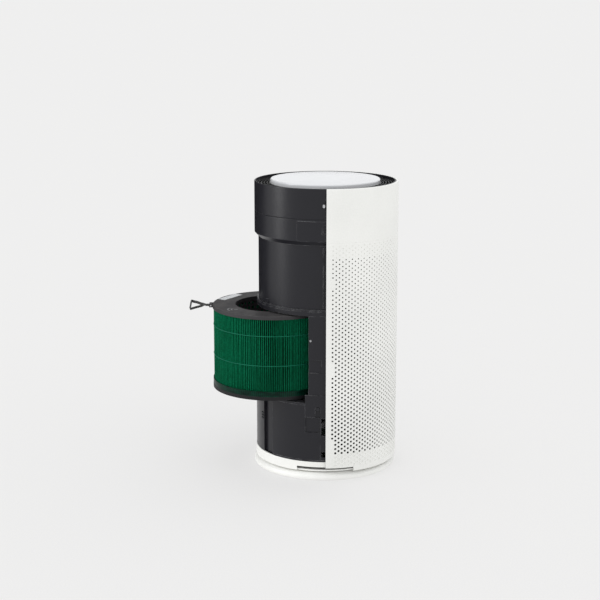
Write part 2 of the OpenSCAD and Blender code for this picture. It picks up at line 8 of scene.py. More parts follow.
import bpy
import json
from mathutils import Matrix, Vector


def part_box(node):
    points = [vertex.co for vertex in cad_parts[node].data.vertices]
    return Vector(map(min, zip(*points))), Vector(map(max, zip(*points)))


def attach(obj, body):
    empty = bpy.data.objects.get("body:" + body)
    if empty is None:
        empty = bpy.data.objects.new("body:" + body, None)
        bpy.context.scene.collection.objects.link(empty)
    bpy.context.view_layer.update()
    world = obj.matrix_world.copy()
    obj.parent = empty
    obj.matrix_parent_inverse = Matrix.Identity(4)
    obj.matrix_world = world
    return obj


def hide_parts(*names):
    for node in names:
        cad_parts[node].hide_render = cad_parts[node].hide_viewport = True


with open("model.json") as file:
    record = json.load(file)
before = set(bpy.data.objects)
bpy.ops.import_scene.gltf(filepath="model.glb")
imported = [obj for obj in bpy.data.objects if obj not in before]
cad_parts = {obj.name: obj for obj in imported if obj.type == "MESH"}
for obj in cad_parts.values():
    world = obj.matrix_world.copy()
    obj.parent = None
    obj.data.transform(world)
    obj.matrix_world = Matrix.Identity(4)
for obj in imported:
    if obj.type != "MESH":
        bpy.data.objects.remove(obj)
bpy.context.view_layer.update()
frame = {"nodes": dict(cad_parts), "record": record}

import json
import math
import random

import bmesh
import bpy
from mathutils import Vector

parts = frame["nodes"]

# %% [markdown]
# The camera comes first, because everything else is judged through it. The drum is seen from its
# left side, a little from above, with a long lens, which keeps the sides of a cylinder almost
# parallel. A wide lens close by would make the rim look much larger than the base. The Standard
# view keeps the whites clean and the charcoal deep, where a filmic one would grey both.

# %% Camera
def add_object(name, data, place=(0, 0, 0), target=None):
    """Puts data into the scene and, if there is a target, aims it there."""
    thing = bpy.data.objects.new(name, data)
    thing.location = place
    if target:
        thing.rotation_euler = (Vector(target) - Vector(place)).to_track_quat("-Z", "Y").to_euler()
    bpy.context.scene.collection.objects.link(thing)
    return thing


optics = bpy.data.cameras.new("camera")
optics.lens, optics.clip_end = 84.8, 3000
camera = add_object("camera", optics, (-2.7355, 0.0544, 0.922), (0, 0.049, 0.3272))
bpy.context.scene.camera = camera
bpy.context.scene.view_settings.view_transform = "Standard"
print("camera", [round(v, 3) for v in camera.location], "lens", camera.data.lens)

# %% [markdown]
# A product studio is a white sweep and large soft boxes. One pale floor runs far behind the object,
# so there is no horizon. A bright, even surrounding fills the shadows, a tall soft box on the open
# side draws the upright highlight down the dark plastic, and a wide one overhead lights the lid.
# The boxes light the object only, so the sweep keeps one even tone. A black flag that only
# reflections see stands beside it, as a studio would have one: it outlines the dark plastic.

# %% Studio
def soft_box(name, place, target, size, watts):
    data = bpy.data.lights.new(name, "AREA")
    data.shape = "RECTANGLE"
    data.size, data.size_y = size
    data.energy = watts
    return add_object(name, data, place, target)


world = bpy.data.worlds.new("studio")
bpy.context.scene.world = world
world.use_nodes = True
sky = world.node_tree.nodes["Background"]
sky.inputs["Color"].default_value = (0.98, 0.99, 1.0, 1)
sky.inputs["Strength"].default_value = 0.98
side_box = soft_box("side_box", (-0.55, 2.6, 1.1), (0, 0, 0.35), (0.7, 2.4), 28)
front_box = soft_box("front_box", (-2.6, -1.5, 1.9), (0, 0, 0.3), (1.6, 1.6), 10)
top_box = soft_box("top_box", (0.3, 0.4, 3.0), (0, 0, 0.5), (2.4, 2.4), 5)


def flat_card(name, corners):
    mesh = bpy.data.meshes.new(name)
    mesh.from_pydata(corners, [], [(0, 1, 2, 3)])
    card = add_object(name, mesh)
    return card


HALF = 600.0
floor = flat_card("floor", [(-HALF, -HALF, 0), (HALF, -HALF, 0), (HALF, HALF, 0), (-HALF, HALF, 0)])
spared = bpy.data.collections.new("spared_by_the_boxes")
spared.objects.link(floor)
spared.collection_objects[0].light_linking.link_state = "EXCLUDE"
for box_light in (side_box, front_box, top_box):
    box_light.light_linking.receiver_collection = spared
FLAG_NEAR, FLAG_FAR, FLAG_LOW, FLAG_HIGH = (0.35, 1.1), (1.5, 0.2), -0.1, 1.6
flag = flat_card("black_flag", [(*FLAG_NEAR, FLAG_LOW), (*FLAG_FAR, FLAG_LOW),
                                (*FLAG_FAR, FLAG_HIGH), (*FLAG_NEAR, FLAG_HIGH)])
flag.visible_camera = flag.visible_diffuse = flag.visible_shadow = False
print("lights:", len(bpy.data.lights), "floor:", floor.dimensions[:2])

# %% [markdown]
# Materials are small node trees. These few helpers keep each tree readable: one adds a node and
# plugs in its sockets, the others calculate, blend two colours or change a range. A plain number
# goes straight on a socket, and only what changes over the surface is linked.

# %% Node helpers
def put(tree, kind, settings=None, **sockets):
    node = tree.nodes.new(kind)
    for name, value in (settings or {}).items():
        setattr(node, name, value)
    for name, value in sockets.items():
        plug(tree, value, node.inputs[name.replace("_", " ")])
    return node


def plug(tree, value, socket):
    if isinstance(value, bpy.types.NodeSocket):
        tree.links.new(value, socket)
    else:
        socket.default_value = value


def calc(tree, operation, first, second=0.0, clamp=False):
    node = put(tree, "ShaderNodeMath", {"operation": operation, "use_clamp": clamp})
    plug(tree, first, node.inputs[0])
    plug(tree, second, node.inputs[1])
    return node.outputs[0]


def times(tree, first, second, clamp=False):
    return calc(tree, "MULTIPLY", first, second, clamp)


def vector_calc(tree, operation, first, second):
    node = put(tree, "ShaderNodeVectorMath", {"operation": operation})
    plug(tree, first, node.inputs[0])
    plug(tree, second, node.inputs[1])
    return node


def stretched(tree, where, scale):
    return vector_calc(tree, "MULTIPLY", where, scale).outputs[0]


def blend_colours(tree, share, first, second, way="MIX"):
    node = put(tree, "ShaderNodeMix", {"data_type": "RGBA", "blend_type": way})
    for socket, value in ((0, share), (6, first), (7, second)):
        plug(tree, value, node.inputs[socket])
    return node.outputs[2]


def shaded(tree, colour, tone):
    """A colour multiplied by one number that changes over the surface."""
    grey = put(tree, "ShaderNodeCombineColor", Red=tone, Green=tone, Blue=tone).outputs[0]
    return blend_colours(tree, 1.0, colour, grey, "MULTIPLY")


def spread(tree, value, low, high, to_low=0.0, to_high=1.0):
    return put(tree, "ShaderNodeMapRange", Value=value, From_Min=low, From_Max=high,
               To_Min=to_low, To_Max=to_high).outputs["Result"]


def noise(tree, where, scale, detail=2.0, roughness=0.5):
    return put(tree, "ShaderNodeTexNoise", Vector=where, Scale=scale, Detail=detail,
               Roughness=roughness).outputs["Fac"]


def cell_distance(tree, where, scale, settings=None):
    return put(tree, "ShaderNodeTexVoronoi", settings, Vector=where,
               Scale=scale).outputs["Distance"]


def places(tree):
    return tree.nodes.new("ShaderNodeTexCoord").outputs["Object"]


def facing(tree):
    return tree.nodes.new("ShaderNodeNewGeometry").outputs["Normal"]


def split_of(tree, vector):
    return put(tree, "ShaderNodeSeparateXYZ", Vector=vector).outputs


def rgba(colour):
    return (*colour, 1.0)


print("node helpers ready")

# %% [markdown]
# Every moulded part shares one look: a spark-eroded grain from the mould, a slow drift of tone
# across the wall, and a little handling wear. It could be repeated in each material, but a shader
# node group with named sockets keeps it in one place, and each material sets its own values.

# %% Group: moulded skin
def new_group(name, inputs, outputs):
    group = bpy.data.node_groups.new(name, "ShaderNodeTree")
    for socket, kind, value in inputs:
        made = group.interface.new_socket(name=socket, in_out="INPUT", socket_type=kind)
        made.default_value = value
    for socket, kind in outputs:
        group.interface.new_socket(name=socket, in_out="OUTPUT", socket_type=kind)
    return group, group.nodes.new("NodeGroupInput").outputs, \
        group.nodes.new("NodeGroupOutput").inputs


FLOAT, COLOUR, VECTOR = "NodeSocketFloat", "NodeSocketColor", "NodeSocketVector"
MID_GREY = (0.5, 0.5, 0.5, 1)


def make_moulded_skin():
    tree, given, made = new_group(
        "moulded_skin",
        [("Colour", COLOUR, MID_GREY), ("Roughness", FLOAT, 0.4), ("Grain Size", FLOAT, 900.0),
         ("Tone Drift", FLOAT, 0.05), ("Smudges", FLOAT, 0.05)],
        [("Colour", COLOUR), ("Roughness", FLOAT), ("Grain", FLOAT)])
    where = places(tree)
    drift = spread(tree, noise(tree, where, 7.0, 3.0), 0.3, 0.7, -1.0, 1.0)
    shade = calc(tree, "ADD", times(tree, drift, given["Tone Drift"]), 1.0)
    speck = noise(tree, where, given["Grain Size"], 1.0)
    both = times(tree, shade, spread(tree, speck, 0.3, 0.7, 0.965, 1.035))
    plug(tree, shaded(tree, given["Colour"], both), made["Colour"])
    smudge = spread(tree, noise(tree, where, 31.0, 5.0, 0.65), 0.45, 0.75)
    rough = calc(tree, "ADD", given["Roughness"], times(tree, smudge, given["Smudges"]))
    plug(tree, calc(tree, "ADD", rough, spread(tree, speck, 0.3, 0.7, -0.03, 0.03)),
         made["Roughness"])
    plug(tree, speck, made["Grain"])
    return tree


moulded_skin = make_moulded_skin()
print("group", moulded_skin.name, "sockets", len(moulded_skin.interface.items_tree))

# %% [markdown]
# Three more shared effects. Edges of plastic go lighter, partly from handling wear and partly as a
# painted highlight: the Bevel node bends the surface normal near an edge, and the difference from
# the true normal marks the edges.
# Dust settles on what faces up, in patches, so it follows the normal's upward part. The third is
# a small printed sign, blank and generic, drawn from the distance to its centre and the bearing.

# %% Groups: worn and highlit edges, dust and printed marks
MASKED = [("Colour", COLOUR), ("Mask", FLOAT)]


def lay_over(tree, given, made, mask, other):
    """Ends a group: the other colour lies over the first where the mask is."""
    plug(tree, blend_colours(tree, mask, given["Colour"], given[other]), made["Colour"])
    plug(tree, mask, made["Mask"])
    return tree


def make_wear_and_edge_highlight():
    tree, given, made = new_group(
        "wear_and_edge_highlight",
        [("Colour", COLOUR, MID_GREY), ("Worn Colour", COLOUR, (0.7, 0.7, 0.7, 1)),
         ("Width", FLOAT, 0.0008), ("Amount", FLOAT, 0.3)], MASKED)
    # lighter edges: partly handling wear, partly a painted highlight along the edge
    bevel = put(tree, "ShaderNodeBevel", {"samples": 4}, Radius=given["Width"])
    match = vector_calc(tree, "DOT_PRODUCT", bevel.outputs[0], facing(tree)).outputs["Value"]
    edge = spread(tree, match, 0.995, 0.80)
    patchy = spread(tree, noise(tree, places(tree), 60.0, 4.0), 0.35, 0.6)
    mask = times(tree, times(tree, edge, patchy), given["Amount"], clamp=True)
    return lay_over(tree, given, made, mask, "Worn Colour")


def make_settled_dust():
    tree, given, made = new_group(
        "settled_dust",
        [("Colour", COLOUR, MID_GREY), ("Dust Colour", COLOUR, (0.42, 0.40, 0.37, 1)),
         ("Amount", FLOAT, 0.1)], MASKED)
    upward = spread(tree, split_of(tree, facing(tree))["Z"], 0.25, 0.95)
    patches = spread(tree, noise(tree, places(tree), 24.0, 6.0, 0.7), 0.35, 0.75)
    mask = times(tree, times(tree, upward, patches), given["Amount"], clamp=True)
    return lay_over(tree, given, made, mask, "Dust Colour")


def make_printed_marks():
    """Three short arcs over a dot, on faces that look up."""
    tree, given, made = new_group(
        "printed_marks",
        [("Colour", COLOUR, MID_GREY), ("Ink", COLOUR, (0.4, 0.4, 0.4, 1)),
         ("X", FLOAT, 0.0), ("Y", FLOAT, 0.0), ("Size", FLOAT, 0.01), ("Amount", FLOAT, 1.0)],
        MASKED)
    spot = split_of(tree, places(tree))
    dx = calc(tree, "SUBTRACT", spot["X"], given["X"])
    dy = calc(tree, "SUBTRACT", spot["Y"], given["Y"])
    far = calc(tree, "SQRT", calc(tree, "ADD", times(tree, dx, dx), times(tree, dy, dy)))
    reach = calc(tree, "DIVIDE", far, given["Size"])
    turn = calc(tree, "ABSOLUTE", calc(tree, "ARCTAN2", dx, dy))
    wave = calc(tree, "SUBTRACT", calc(tree, "FRACT", times(tree, reach, 3.0)), 0.5)
    line = calc(tree, "LESS_THAN", calc(tree, "ABSOLUTE", wave), 0.17)
    inside = times(tree, calc(tree, "LESS_THAN", reach, 1.0), calc(tree, "LESS_THAN", turn, 0.75))
    sign = calc(tree, "MAXIMUM", times(tree, line, inside), calc(tree, "LESS_THAN", reach, 0.12))
    upward = calc(tree, "GREATER_THAN", split_of(tree, facing(tree))["Z"], 0.95)
    mask = times(tree, times(tree, sign, upward), given["Amount"], clamp=True)
    return lay_over(tree, given, made, mask, "Ink")


wear_and_edge_highlight = make_wear_and_edge_highlight()
settled_dust = make_settled_dust()
printed_marks = make_printed_marks()
print("groups", wear_and_edge_highlight.name, settled_dust.name, printed_marks.name)

# %% [markdown]
# The casing plastics differ only in values, so one maker builds them all: skin, then edges that go
# lighter with wear and a painted highlight, then dust, then a shallow bump from the grain. Colour
# and roughness are linked because they change over the surface. What is even, such as the coat or
# the specular level, is set on the shader. The floor's paper also glows a little, which keeps the
# sweep one even tone right up to the horizon.

# %% Moulded plastics
finish = {}


def blank_material(name):
    finish[name] = bpy.data.materials.new(name)
    finish[name].use_nodes = True
    tree = finish[name].node_tree
    return tree, tree.nodes["Principled BSDF"]


def dress(tree, shader, colour, rough, height, strength, distance=0.0003):
    """Plugs in what changes over a surface: its colour, its roughness and its bump."""
    plug(tree, colour, shader.inputs["Base Color"])
    plug(tree, rough, shader.inputs["Roughness"])
    raised = put(tree, "ShaderNodeBump", Height=height, Strength=strength, Distance=distance)
    plug(tree, raised.outputs["Normal"], shader.inputs["Normal"])


def use_group(tree, group, **sockets):
    return put(tree, "ShaderNodeGroup", {"node_tree": group}, **sockets).outputs


def moulded(name, colour, roughness, grain=900.0, depth=0.25, drift=0.04, smudges=0.05,
            wear_highlight_colour=(0.5, 0.5, 0.5), wear_highlight=0.3, dust=0.1, specular=0.5, coat=0.0, mark=None):
    tree, shader = blank_material(name)
    skin = use_group(tree, moulded_skin, Colour=rgba(colour), Roughness=roughness,
                     Grain_Size=grain, Tone_Drift=drift, Smudges=smudges)
    edges = use_group(tree, wear_and_edge_highlight, Colour=skin["Colour"], Worn_Colour=rgba(wear_highlight_colour),
                      Width=0.0007, Amount=wear_highlight)
    dusty = use_group(tree, settled_dust, Colour=edges["Colour"], Amount=dust)
    top = dusty
    if mark:
        x, y, size, ink = mark
        top = use_group(tree, printed_marks, Colour=dusty["Colour"], Ink=rgba(ink), X=x, Y=y,
                        Size=size)
    duller = calc(tree, "ADD", skin["Roughness"], times(tree, dusty["Mask"], 0.3), clamp=True)
    dress(tree, shader, top["Colour"], duller, skin["Grain"], depth, 0.0002)
    shader.inputs["Specular IOR Level"].default_value = specular
    shader.inputs["Coat Weight"].default_value = coat
    shader.inputs["Coat Roughness"].default_value = 0.12


WEAR_AND_HIGHLIGHT_WHITE = (0.9, 0.9, 0.9)
moulded("white_casing", (0.83, 0.83, 0.80), 0.42, wear_highlight_colour=WEAR_AND_HIGHLIGHT_WHITE, wear_highlight=0.2, dust=0.04)
moulded("white_lid", (0.645, 0.65, 0.665), 0.2, grain=1500.0, depth=0.04, wear_highlight_colour=WEAR_AND_HIGHLIGHT_WHITE,
        wear_highlight=0.2, dust=0.05, coat=0.5, mark=(0.017, 0.030, 0.008, (0.42, 0.43, 0.45)))
# the charcoal's pale edge colour at full amount is mostly a painted highlight, with a little wear
moulded("charcoal_casing", (0.0108, 0.0107, 0.0142), 0.32, depth=0.3, wear_highlight_colour=(0.24, 0.24, 0.25),
        wear_highlight=1.0, dust=0.05, specular=0.3)
moulded("grille_plastic", (0.009, 0.009, 0.0098), 0.45, depth=0.3, wear_highlight_colour=(0.07, 0.07, 0.075),
        wear_highlight=0.5, dust=0.06, specular=0.2)
moulded("socket_black", (0.006, 0.006, 0.007), 0.5, wear_highlight=0.2, dust=0.05, specular=0.2)
moulded("impeller_plastic", (0.55, 0.56, 0.58), 0.38, dust=0.3)
moulded("pale_trim", (0.42, 0.42, 0.43), 0.3, depth=0.05, coat=0.2)
# the filter's bottom cap is the cap plastic painted much darker: painted shade under the filter
moulded("painted_shade_cap", (0.010, 0.010, 0.011), 0.5, grain=650.0, depth=0.5,
        wear_highlight_colour=(0.08, 0.08, 0.085), wear_highlight=0.6, dust=0.05, specular=0.2)
# the near-black sheet inside the cover's holes is painted shade, not a real filter net
moulded("painted_shade_net", (0.006, 0.006, 0.006), 0.8, grain=1800.0, depth=0.6, drift=0.2, wear_highlight=0.0,
        dust=0.05, specular=0.1)
moulded("stud_plastic", (0.30, 0.30, 0.31), 0.35, dust=0.1)
moulded("filter_caps", (0.036, 0.034, 0.036), 0.55, grain=650.0, depth=0.5, drift=0.12,
        smudges=0.1, wear_highlight_colour=(0.12, 0.115, 0.12), wear_highlight=0.6, dust=0.12, specular=0.25,
        mark=(-0.056, 0.172, 0.021, (0.20, 0.20, 0.205)))
moulded("floor_paper", (0.36, 0.357, 0.354), 0.8, grain=350.0, depth=0.05, drift=0.002,
        smudges=0.0, wear_highlight=0.0, dust=0.0, specular=0.0)
moulded("flag_cloth", (0.01, 0.01, 0.01), 0.9, specular=0.1)
paper = finish["floor_paper"].node_tree.nodes["Principled BSDF"]
paper.inputs["Emission Color"].default_value = (1.0, 0.995, 0.99, 1)
paper.inputs["Emission Strength"].default_value = 0.52
floor.data.materials.append(finish["floor_paper"])
flag.data.materials.append(finish["flag_cloth"])
print("moulded finishes:", len(finish))

# %% [markdown]
# Rubber, foam and metals are hardly seen from outside, yet they show through the openings and when
# the part is taken apart. Rubber is a dull grain, foam is a field of cells, zinc-plated screws are
# turned, and the motor's coil is wound wire. Cells and turned lines each serve several materials,
# so they are groups too, and so is the cloudy resin that comes with the filter.

# %% Rubber, foam, metals and the circuit boards
SURFACE = [("Colour", COLOUR), ("Roughness", FLOAT), ("Height", FLOAT)]


def give_out(tree, given, made, colour, rough, height):
    """Ends a surface group: rough is what changes about the given roughness."""
    plug(tree, colour, made["Colour"])
    plug(tree, calc(tree, "ADD", given["Roughness"], rough), made["Roughness"])
    plug(tree, height, made["Height"])
    return tree


def make_rubber_cells():
    tree, given, made = new_group(
        "rubber_cells",
        [("Colour", COLOUR, MID_GREY), ("Roughness", FLOAT, 0.8), ("Cells", FLOAT, 800.0)], SURFACE)
    where = places(tree)
    cell = cell_distance(tree, where, given["Cells"])
    colour = shaded(tree, given["Colour"], spread(tree, cell, 0.0, 0.8, 0.8, 1.15))
    rough = spread(tree, noise(tree, where, 40.0), 0.3, 0.7, -0.06, 0.06)
    return give_out(tree, given, made, colour, rough, cell)


def make_turned_metal():
    """Turned or drawn metal: fine lines across Z, with a slow stain in the colour."""
    tree, given, made = new_group(
        "turned_metal",
        [("Colour", COLOUR, MID_GREY), ("Roughness", FLOAT, 0.3), ("Lines", VECTOR, (40, 40, 900))],
        SURFACE)
    where = places(tree)
    line = noise(tree, stretched(tree, where, given["Lines"]), 1.0, 3.0)
    stain = spread(tree, noise(tree, where, 55.0, 4.0), 0.3, 0.7, 0.88, 1.06)
    rough = spread(tree, line, 0.3, 0.7, -0.08, 0.1)
    return give_out(tree, given, made, shaded(tree, given["Colour"], stain), rough, line)


rubber_cells, turned_metal = make_rubber_cells(), make_turned_metal()


def surfaced(name, group, depth, distance, **values):
    """A material whose colour, roughness and bump all come from one surface group."""
    tree, shader = blank_material(name)
    skin = use_group(tree, group, **values)
    dress(tree, shader, skin["Colour"], skin["Roughness"], skin["Height"], depth, distance)
    return shader


def rubber_like(name, colour, cells, depth, roughness):
    surfaced(name, rubber_cells, depth, 0.0004, Colour=rgba(colour), Roughness=roughness,
             Cells=cells)


def metal(name, colour, roughness, lines, depth):
    shader = surfaced(name, turned_metal, depth, 0.0002, Colour=rgba(colour), Roughness=roughness,
                      Lines=(40.0, 40.0, lines))
    shader.inputs["Metallic"].default_value = 1.0


def circuit_board():
    """Green lacquer over copper tracks: a square cell pattern gives the tracks and the pads."""
    tree, shader = blank_material("circuit_board")
    where = places(tree)
    square = {"distance": "CHEBYCHEV", "feature": "F2"}
    gap = spread(tree, cell_distance(tree, where, 260.0, square), 0.42, 0.5)
    pads = spread(tree, cell_distance(tree, where, 190.0), 0.13, 0.10)
    green = blend_colours(tree, gap, (0.004, 0.030, 0.011, 1), (0.010, 0.060, 0.022, 1))
    dress(tree, shader, blend_colours(tree, pads, green, (0.30, 0.29, 0.26, 1)),
          spread(tree, pads, 0, 1, 0.28, 0.4), gap, 0.3)


rubber_like("foot_rubber", (0.025, 0.025, 0.026), 900.0, 0.3, 0.8)
rubber_like("seal_foam", (0.012, 0.012, 0.013), 700.0, 0.8, 0.9)
metal("screw_steel", (0.56, 0.56, 0.57), 0.3, 1400.0, 0.25)
metal("black_screw", (0.045, 0.045, 0.05), 0.42, 1400.0, 0.25)
metal("motor_metal", (0.42, 0.43, 0.45), 0.4, 700.0, 0.2)
metal("copper_wire", (0.55, 0.24, 0.10), 0.35, 3200.0, 0.9)
metal("contact_brass", (0.70, 0.52, 0.25), 0.28, 900.0, 0.15)
circuit_board()
print("finishes so far:", sorted(finish))

# %% [markdown]
# The filter's sheet is pressed fibre, dyed a strong green. Close up it is a felt of fibres lying
# every way, so two stretched noises are laid across each other, and the paper is a little darker
# where air has already left its dust. It has a slight sheen, as felt has, and no gloss.

# %% Filter sheet, potting, label and strap tape
PLEATS = 190
media_low, media_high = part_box("filter_media")
filter_y = (media_low.y + media_high.y) / 2


def pleat_paper():
    tree, shader = blank_material("filter_pleats")
    where = places(tree)
    across = noise(tree, stretched(tree, where, (900.0, 900.0, 160.0)), 1.0, 3.0, 0.6)
    along = noise(tree, stretched(tree, where, (160.0, 160.0, 900.0)), 1.0, 3.0, 0.6)
    fibre = times(tree, calc(tree, "ADD", across, along), 0.5)
    patch = noise(tree, where, 14.0, 4.0)
    fresh = blend_colours(tree, spread(tree, fibre, 0.38, 0.62), (0.000, 0.085, 0.035, 1),
                          (0.003, 0.185, 0.085, 1))
    used = blend_colours(tree, 1.0, fresh, (0.72, 0.76, 0.72, 1), "MULTIPLY")
    dress(tree, shader, blend_colours(tree, spread(tree, patch, 0.42, 0.72), fresh, used),
          spread(tree, fibre, 0.3, 0.7, 0.75, 0.95), fibre, 0.5, 0.0004)
    shader.inputs["Sheen Weight"].default_value = 0.03
    shader.inputs["Sheen Tint"].default_value = (0.35, 0.8, 0.55, 1)
    shader.inputs["Specular IOR Level"].default_value = 0.05


def make_cloudy_resin():
    """Resin poured round the pleats: glossy, cloudy, with the pleats showing through as ribs."""
    tree, given, made = new_group(
        "cloudy_resin",
        [("Thin", COLOUR, MID_GREY), ("Thick", COLOUR, MID_GREY), ("Roughness", FLOAT, 0.3),
         ("Ribs", FLOAT, 190.0), ("Centre Y", FLOAT, 0.0)], SURFACE)
    where = places(tree)
    cloud = noise(tree, stretched(tree, where, (60.0, 60.0, 220.0)), 1.0, 4.0)
    spot = split_of(tree, where)
    turn = calc(tree, "ARCTAN2", spot["X"], calc(tree, "SUBTRACT", spot["Y"], given["Centre Y"]))
    rib = calc(tree, "COSINE", times(tree, turn, given["Ribs"]))
    shade = calc(tree, "ADD", cloud, times(tree, rib, 0.14))
    colour = blend_colours(tree, spread(tree, shade, 0.35, 0.65), given["Thin"], given["Thick"])
    return give_out(tree, given, made, colour, spread(tree, cloud, 0.3, 0.7, 0.0, 0.15), cloud)


cloudy_resin = make_cloudy_resin()


def potting(name, thin, thick, roughness, gloss):
    shader = surfaced(name, cloudy_resin, 0.25, 0.0005, Thin=rgba(thin), Thick=rgba(thick),
                      Roughness=roughness, Ribs=float(PLEATS), Centre_Y=filter_y)
    shader.inputs["Specular IOR Level"].default_value = gloss


def label_film():
    """Blank film: a very slight orange peel and a cold tint that drifts along it."""
    tree, shader = blank_material("label_film")
    where = places(tree)
    drift = spread(tree, noise(tree, where, 30.0, 2.0), 0.35, 0.65)
    dress(tree, shader, blend_colours(tree, drift, (0.78, 0.79, 0.80, 1), (0.72, 0.73, 0.74, 1)),
          spread(tree, noise(tree, where, 300.0), 0.3, 0.7, 0.22, 0.36),
          noise(tree, where, 420.0), 0.08)


def strap_tape():
    """Flat woven tape. UVs run along it, so the warp and weft keep their count round the bends."""
    tree, shader = blank_material("strap_fabric")
    along = split_of(tree, tree.nodes.new("ShaderNodeTexCoord").outputs["UV"])
    warp = calc(tree, "SINE", times(tree, along["Y"], 2 * math.pi / 0.0006))
    weft = calc(tree, "SINE", times(tree, along["X"], 2 * math.pi / 0.0008))
    fuzz = noise(tree, places(tree), 2600.0, 2.0)
    height = calc(tree, "ADD", times(tree, times(tree, warp, weft), 0.5), fuzz)
    dress(tree, shader, blend_colours(tree, spread(tree, height, -0.1, 1.2),
                                      (0.010, 0.009, 0.0095, 1), (0.045, 0.041, 0.042, 1)),
          spread(tree, fuzz, 0.3, 0.7, 0.78, 0.95), height, 0.7)
    shader.inputs["Sheen Weight"].default_value = 0.3


pleat_paper()
potting("filter_glue", (0.000, 0.006, 0.004), (0.000, 0.030, 0.016), 0.3, 0.12)
potting("glue_bead", (0.003, 0.10, 0.055), (0.008, 0.15, 0.085), 0.45, 0.1)
label_film()
strap_tape()
print("finishes:", len(finish))

# %% [markdown]
# The engineering model's parts keep their shape. Each gets its finish, and modifiers that only
# help the light: vertices that sit on each other are joined, faces are smoothed up to an angle,
# and edges are softened by a few tenths of a millimetre, because a real moulding has no knife edge
# and the thin bright line along it is what makes it read as plastic.

# %% Finishing the engineering parts
def make_shading_group(limit=math.radians(32)):
    """Joins loose vertices, drops imported normals and smooths every edge below the limit."""
    tree = bpy.data.node_groups.new("smooth_by_angle", "GeometryNodeTree")
    tree.interface.new_socket(name="Geometry", in_out="INPUT", socket_type="NodeSocketGeometry")
    tree.interface.new_socket(name="Geometry", in_out="OUTPUT", socket_type="NodeSocketGeometry")
    given, made = tree.nodes.new("NodeGroupInput"), tree.nodes.new("NodeGroupOutput")
    joined = put(tree, "GeometryNodeMergeByDistance", Geometry=given.outputs[0], Distance=1e-6)
    bare = put(tree, "GeometryNodeRemoveAttribute", Geometry=joined.outputs[0],
               Name="custom_normal")
    smooth = put(tree, "GeometryNodeSetShadeSmooth", Geometry=bare.outputs[0], Shade_Smooth=True)
    angle = tree.nodes.new("GeometryNodeInputMeshEdgeAngle")
    soft = put(tree, "FunctionNodeCompare", {"data_type": "FLOAT", "operation": "LESS_THAN"})
    tree.links.new(angle.outputs["Unsigned Angle"], soft.inputs["A"])
    soft.inputs["B"].default_value = limit
    edges = put(tree, "GeometryNodeSetShadeSmooth", {"domain": "EDGE"},
                Geometry=smooth.outputs[0], Shade_Smooth=soft.outputs["Result"])
    tree.links.new(edges.outputs[0], made.inputs[0])
    return tree


smooth_by_angle = make_shading_group()


def smooth_part(piece, width=0.0):
    smoother = piece.modifiers.new("smooth_by_angle", "NODES")
    smoother.node_group = smooth_by_angle
    if width:
        softener = piece.modifiers.new("soft_edges", "BEVEL")
        softener.width, softener.segments = width, 2
        softener.limit_method, softener.angle_limit = "ANGLE", math.radians(40)
        softener.harden_normals = True
        softener.use_clamp_overlap = True


slot_of = {row["node"]: row["material_slot"] for row in frame["record"]["subparts"]}
# the bottom cap's darker finish is painted shade
other_finish = {"top_disc": "white_lid", "column_screws": "black_screw",
                "column_studs": "stud_plastic", "filter_bottom_cap": "painted_shade_cap"}
soft_edge = {node: width for width, nodes in (
    (0.0005, "filter_top_cap power_socket"),
    (0.0004, "lower_housing shroud_band upper_ring left_column right_column bottom_ring "
             "rear_panel column_studs"),
    (0.0003, "cover_latches fan_housing intake_cage switch_button inlet_guard stator_vanes "
             "impeller"),
    (0.0002, "outlet_grille")) for node in nodes.split()}
for name, part in parts.items():
    chosen = finish[other_finish.get(name, slot_of[name])]
    for slot in part.material_slots:
        slot.material = chosen
    if not part.material_slots:
        part.data.materials.append(chosen)
    smooth_part(part, soft_edge.get(name, 0.0))
print("parts finished:", len(parts), "softened:", len(soft_edge))

# %% [markdown]
# The cover is one moulded half drum with some three thousand real holes. They grow from 2.4 mm near
# the top to 4.2 mm near the foot, and the last rows at both ends are only dimples. Cutting them
# with a boolean would be slow and untidy, so the wall is laid out as a honeycomb of cells: each
# is a small frame of faces round its own hole, and neighbours share their corner points.

# %% A wall with holes
def turn_outward(mesh):
    work = bmesh.new()
    work.from_mesh(mesh)
    bmesh.ops.recalc_face_normals(work, faces=work.faces)
    work.to_mesh(mesh)
    work.free()


class WallMesh:
    """Collects faces on a drum. A point is (bearing, radius, height); equal points are shared."""

    def __init__(self):
        self.points, self.index, self.faces = [], {}, []

    def point(self, bearing, radius, height):
        key = (round(bearing * 1e4) % 3600000, round(radius * 1e6), round(height * 1e6))
        if key not in self.index:
            turn = math.radians(bearing)
            self.index[key] = len(self.points)
            self.points.append((-radius * math.cos(turn), -radius * math.sin(turn), height))
        return self.index[key]

    def face(self, corners, flip=False):
        ids = []
        for corner in corners:
            i = self.point(*corner)
            if i not in ids:
                ids.append(i)
        if len(ids) > 2:
            self.faces.append(ids[::-1] if flip else ids)

    def build(self, name):
        mesh = bpy.data.meshes.new(name)
        mesh.from_pydata(self.points, [], self.faces)
        turn_outward(mesh)
        return add_object(name, mesh)


def zip_rings(outer, inner):
    """Triangles between two closed rings of points, both counted by angle from their centre."""
    outer, inner = [ring + [(ring[0][0], ring[0][1] + 360)] for ring in (outer, inner)]
    faces, i, j = [], 0, 0
    while i < len(outer) - 1 or j < len(inner) - 1:
        if j == len(inner) - 1 or (i < len(outer) - 1 and outer[i + 1][1] <= inner[j + 1][1]):
            faces.append((outer[i][0], outer[i + 1][0], inner[j][0]))
            i += 1
        else:
            faces.append((outer[i][0], inner[j + 1][0], inner[j][0]))
            j += 1
    return faces


